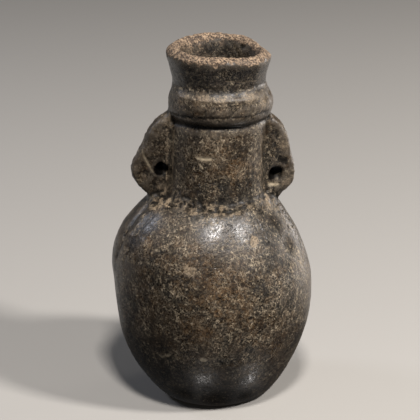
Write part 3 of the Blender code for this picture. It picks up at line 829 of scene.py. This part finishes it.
# the smoked skin and its clouds
firing = between(grain(*patterns["firing"]), 0.40, 0.62)
colour = blendColour(combine("MULTIPLY", firing, 0.8), colours["smokedAndShade"], colours["brown"])
mottle = between(grain(*patterns["mottle"]), 0.45, 0.62)
mottled = combine("MULTIPLY", mottle, between(warm, 0.0, 0.8, 0.35, 1.0))
colour = blendColour(mottled, colour, colours["ochre"])
warmSpeck = combine("MULTIPLY", between(warm, 0.1, 0.9), between(speck, 0.35, 0.55))
colour = blendColour(warmSpeck, colour, colours["ochre"])
# a cool grey where the stone rubbed, which on the left shoulder and at the highlights is a painted sheen
greyCloud = combine("MULTIPLY", grey, between(sheen, 0.3, 0.55, 0.55, 0.9))
colour = blendColour(greyCloud, colour, colours["greySkin"])
# soot, and painted shade, darken it towards the smoked colour
colour = blendColour(combine("MULTIPLY", sootAndShade, 0.75), colour, colours["smokedAndShade"])
# dust, which on the belly's edges and the collar's ledge is painted sheen and highlight
dustCloud = combine("MULTIPLY", dustAndSheen, between(speck, 0.36, 0.60, 0.10, 0.60))
colour = blendColour(dustCloud, colour, colours["dustAndSheen"])
colour = blendColour(1.0, colour, between(speck, 0.37, 0.63, 0.44, 1.45), "MULTIPLY")

# cracks, scuffs, pale temper, worn edges and painted shade in the hollows
colour = blendColour(cracks, colour, colours["pitAndShade"])
colour = blendColour(combine("MULTIPLY", scuffs, 0.95), colour, colours["fibre"])
temper = combine("MULTIPLY", between(speck, 0.58, 0.70, 0.0, 0.5), between(grey, 0.2, 1.0, 1.0, 0.25))
colour = blendColour(temper, colour, colours["fibre"])
colour = blendColour(between(edge, 0.56, 0.85, 0.0, 0.50), colour, colours["dustAndSheen"])
colour = blendColour(between(edge, 0.44, 0.15, 0.0, 0.70), colour, colours["pitAndShade"])

# deposits, stray flecks of lime and open pits
crustHere = between(combine("ADD", crust, combine("MULTIPLY", speck, 0.7)), 0.60, 1.10)
crustColour = blendColour(between(fine, 0.35, 0.65), colours["crustDark"], colours["crustPale"])
colour = blendColour(combine("MULTIPLY", crustHere, 0.9), colour, crustColour)
colour = blendColour(between(grain(*patterns["flecks"]), 0.72, 0.76), colour, colours["crustPale"])
colour = blendColour(combine("MULTIPLY", lime, 0.9), colour, colours["lime"])
colour = blendColour(combine("MULTIPLY", pits, 0.85), colour, colours["pitAndShade"])

# bare clay, and the shade in the holes
bareColour = blendColour(between(grit, 0.40, 0.60), colours["bareDark"], colours["barePale"])
soil = between(grain(*patterns["soil"]), 0.45, 0.65, 0.0, 0.65)
bareColour = blendColour(soil, bareColour, colours["bareDark"])
bareHere = between(combine("ADD", bareClay, combine("MULTIPLY", speck, 0.3)), 0.50, 0.80)
colour = blendColour(bareHere, colour, bareColour)
colour = blendColour(bore, colour, colours["pitAndShade"])
tree.links.new(colour, shader.inputs["Base Color"])

# satin where the stone rubbed, rougher where it is scuffed, dusty, crusted or bare
rough = between(sheen, 0.30, 0.70, blackware["satin"] - 0.04, blackware["satin"] + 0.08)
rough = combine("ADD", rough, between(fine, 0.36, 0.64, 0.0, 0.20))
for wear, amount in ((scuffs, 0.30), (dustAndSheen, 0.12), (crustHere, 0.25), (bareClay, 0.40), (matte, 0.30)):
    rough = combine("ADD", rough, combine("MULTIPLY", wear, amount))
rough = combine("SUBTRACT", rough, combine("MULTIPLY", grey, 0.09))
tree.links.new(rough, shader.inputs["Roughness"])
shine = combine("MULTIPLY", between(matte, 0.0, 1.0, 0.5, 0.10), between(bore, 0.0, 1.0, 1.0, 0.1))
tree.links.new(shine, shader.inputs["Specular IOR Level"])

relief = combine("MULTIPLY", fine, 0.5)
bareGrit = combine("MULTIPLY", grit, bareClay)
for part, amount in ((speck, 1.1), (scuffs, 0.55), (cracks, -0.7), (pits, -0.9), (bareGrit, 5.0)):
    relief = free("ADD", relief, free("MULTIPLY", part, amount))
bumpDistance = blackware["bumpHeight"] / 1000
bump = addNode(tree, "ShaderNodeBump", {"Height": relief, "Strength": 1.0, "Distance": bumpDistance})
tree.links.new(bump.outputs[0], shader.inputs["Normal"])

vase.data.materials.clear()
vase.data.materials.append(clay)
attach(vase, "root")
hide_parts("vase")
print("clay finished")


# Plain studio: a pale floor that runs on behind, two soft lamps overhead, their glow thrown back from
# below, a soft fill from the right and a faint sheen from the left
studio = {
    "floorReach": 20000,
    "nearDepth": 45,              # the near sheet of the floor ends this far behind the vase's middle
    "floorColour": "#a3a19d",
    "floorRoughness": 0.85,
    "airColour": "#a9adb3",
    "airStrength": 0.10,
    "lampMiddle": 80,             # the height on the vase that the lamps stand around
    # name, direction of the light's place from the vase, distance, size, watts, colour
    "lamps": (
        ("leftKey", (0.02, -0.52, 0.85), 1000, 130, 10.6, "#fff9f4"),
        ("rightKey", (0.62, -0.39, 0.69), 1000, 120, 11.4, "#fff9f4"),
        ("leftGlow", (-0.15, -0.28, -0.95), 700, 40, 0.32, "#fff9f4"),
        ("rightGlow", (0.45, -0.10, -0.89), 700, 40, 0.32, "#fff9f4"),
        ("sideFill", (0.86, 0.50, 0.02), 900, 300, 3.5, "#fff6ee"),
        ("leftSheen", (-0.77, 0.38, 0.52), 900, 220, 1.8, "#eef2ff"),
    ),
}

# matt card, which gives a soft even grey with no shine
paleCard = bpy.data.materials.new("matt_paper")
paleCard.use_nodes = True
cardShader = paleCard.node_tree.nodes["Principled BSDF"]
cardShader.inputs["Base Color"].default_value = hexColour(studio["floorColour"])
cardShader.inputs["Roughness"].default_value = studio["floorRoughness"]


def layFloor(name, nearY, farY):
    bpy.ops.object.select_all(action="DESELECT")
    bpy.ops.mesh.primitive_plane_add(size=1, location=(0, 0, 0))
    sheet = bpy.context.object
    sheet.name = name
    for vertex in sheet.data.vertices:
        vertex.co.x *= 2 * studio["floorReach"] / 1000
        vertex.co.y = (farY if vertex.co.y > 0 else nearY) / 1000
    sheet.data.materials.append(paleCard)
    return sheet


# the near floor shows, but it doesn't brighten the belly from below
nearFloor = layFloor("nearFloor", -studio["floorReach"], studio["nearDepth"])
nearFloor.visible_diffuse = False
nearFloor.visible_glossy = False
nearFloor.visible_shadow = False
farFloor = layFloor("farFloor", studio["nearDepth"], studio["floorReach"])
farFloor.visible_shadow = False

for name, way, distance, size, watts, tint in studio["lamps"]:
    spot = Vector(way).normalized() * distance / 1000 + Vector((0, 0, studio["lampMiddle"] / 1000))
    lampTurn = (-Vector(way)).to_track_quat("-Z", "Y").to_euler()
    bpy.ops.object.light_add(type="AREA", location=spot, rotation=lampTurn)
    lamp = bpy.context.object
    lamp.name = name
    lamp.data.size = size / 1000
    lamp.data.energy = watts
    lamp.data.color = hexColour(tint)[:3]

air = bpy.data.worlds.new("studioAir")
scene.world = air
air.use_nodes = True
air.node_tree.nodes["Background"].inputs["Color"].default_value = hexColour(studio["airColour"])
air.node_tree.nodes["Background"].inputs["Strength"].default_value = studio["airStrength"]
print("studio lit")
